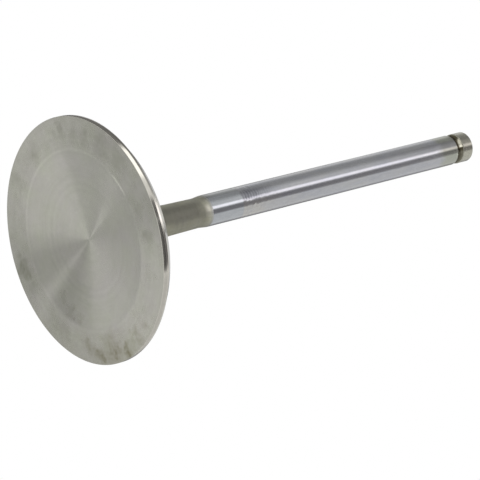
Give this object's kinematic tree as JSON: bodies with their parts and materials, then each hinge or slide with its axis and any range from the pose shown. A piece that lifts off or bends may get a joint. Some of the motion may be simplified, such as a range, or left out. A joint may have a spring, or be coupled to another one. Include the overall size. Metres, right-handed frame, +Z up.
{
  "type": "engine intake valve",
  "caption": "One-piece poppet valve with a dished tulip head, 45 degree seat, relieved neck, plated stem and round-bottomed keeper groove near the tip.",
  "frame": {"origin": "middle of the head's flat face, which is the lowest plane of the part", "axes": "+Z up the stem, from the head to the tip; X and Y are free, because the part is a body of revolution"},
  "size_m": [0.0528, 0.0528, 0.1137],
  "materials": {
    "valve_steel": "turned valve steel, with a ground and hard-chromed stem"
  },
  "bodies": {
    "root": {"valve": "valve_steel"}
  },
  "joints": []
}
